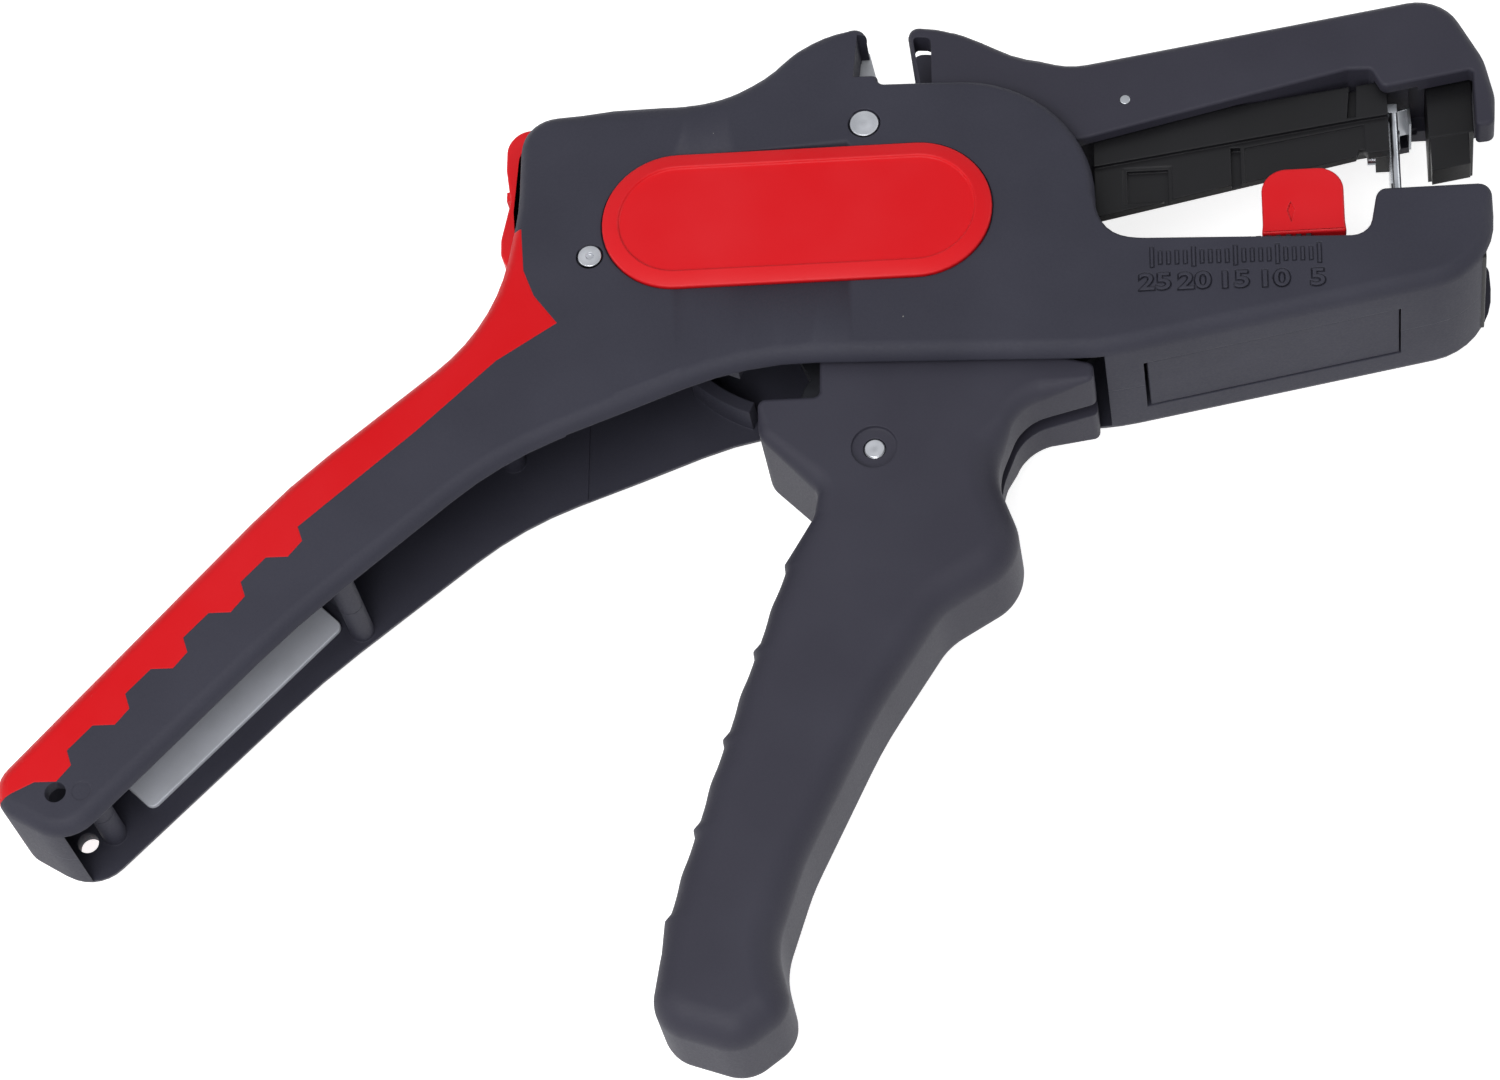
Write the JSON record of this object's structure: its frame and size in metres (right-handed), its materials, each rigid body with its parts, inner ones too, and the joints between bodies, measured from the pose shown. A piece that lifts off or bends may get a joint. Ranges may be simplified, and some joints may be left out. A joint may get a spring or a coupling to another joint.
{
  "type": "wire stripping pliers",
  "caption": "Pistol-shaped self-adjusting wire stripping pliers with squeeze trigger, sliding length stop and cutter notch.",
  "frame": {"origin": "on the far label plate's face, the face that the pliers rest on, straight below the trigger's pivot", "axes": "+X runs towards the tip of the jaws, +Y towards the cutter hump, +Z towards the side that carries the scale"},
  "size_m": [0.1804, 0.1331, 0.0236],
  "materials": {
    "housing_plastic": "fine spark-eroded texture, charcoal glass-filled polyamide",
    "jaw_plastic": "fine texture, charcoal glass-filled polyamide",
    "trigger_plastic": "satin, dark charcoal polyamide",
    "red_plastic": "satin, signal red",
    "carriage_plastic": "satin, black acetal",
    "pin_steel": "turned and ground, bright",
    "plate_steel": "stamped, dull",
    "blade_steel": "hardened and ground",
    "handle_plate_metal": "satin"
  },
  "bodies": {
    "housing": {"near_shell": "housing_plastic", "far_shell": "housing_plastic", "palm_pad": "red_plastic", "near_plate": "red_plastic", "far_plate": "red_plastic", "jaw_pivot_pin": "pin_steel", "rear_pin": "pin_steel", "trigger_pivot_pin": "pin_steel", "handle_plate": "handle_plate_metal", "lower_clamp": "carriage_plastic", "access_cover": "carriage_plastic", "return_spring": "pin_steel"},
    "trigger": {"trigger_grip": "trigger_plastic", "lever_plate": "plate_steel", "lever_rivets": "pin_steel", "link_pin": "pin_steel", "cutter_blade": "blade_steel", "cutter_rivets": "pin_steel", "cam_roller": "pin_steel", "roller_pin": "pin_steel"},
    "lower_slide": {"lower_carriage": "carriage_plastic", "pull_bar": "plate_steel", "pull_bar_rivets": "pin_steel", "lower_blade": "blade_steel", "lower_blade_screws": "pin_steel"},
    "stop": {"length_stop": "red_plastic"},
    "jaw": {"upper_jaw": "jaw_plastic", "jaw_core_plate": "plate_steel", "jaw_side_pin": "pin_steel", "upper_clamp": "carriage_plastic"},
    "upper_slide": {"upper_carriage": "carriage_plastic", "upper_blade": "blade_steel", "upper_blade_screws": "pin_steel", "guide_rod": "pin_steel", "blade_spring": "pin_steel"},
    "slider": {"depth_slider": "red_plastic"}
  },
  "joints": [
    {"name": "trigger_pivot", "type": "hinge", "parent": "housing", "child": "trigger", "pos_m": [0, 0, 0.0118], "axis": [0, 0, -1], "range_deg": [0, 28], "stiffness_Nm_per_rad": 0.6, "springref_deg": -14.32},
    {"name": "lower_carriage_slide", "type": "slide", "parent": "housing", "child": "lower_slide", "axis": [-1, 0, 0], "range_m": [0, 0.01548]},
    {"name": "jaw_pivot", "type": "hinge", "parent": "housing", "child": "jaw", "pos_m": [0.0083, 0.0126, 0.0118], "axis": [0, 0, -1], "range_deg": [0, 7.51]},
    {"name": "upper_carriage_slide", "type": "slide", "parent": "jaw", "child": "upper_slide", "axis": [-0.9914, -0.1305, 0], "range_m": [0, 0.01548]},
    {"name": "stop_slide", "type": "slide", "parent": "lower_slide", "child": "stop", "axis": [1, 0, 0], "range_m": [-0.0165, 0.0028]},
    {"name": "depth_slide", "type": "slide", "parent": "housing", "child": "slider", "axis": [0, 1, 0], "range_m": [0, 0.004]}
  ],
  "couplings": [
    {"joint": "lower_carriage_slide", "follows": "trigger_pivot", "m_per_rad": 0.031645},
    {"joint": "jaw_pivot", "follows": "trigger_pivot", "ratio": 0.26786},
    {"joint": "upper_carriage_slide", "follows": "trigger_pivot", "m_per_rad": 0.031645}
  ]
}
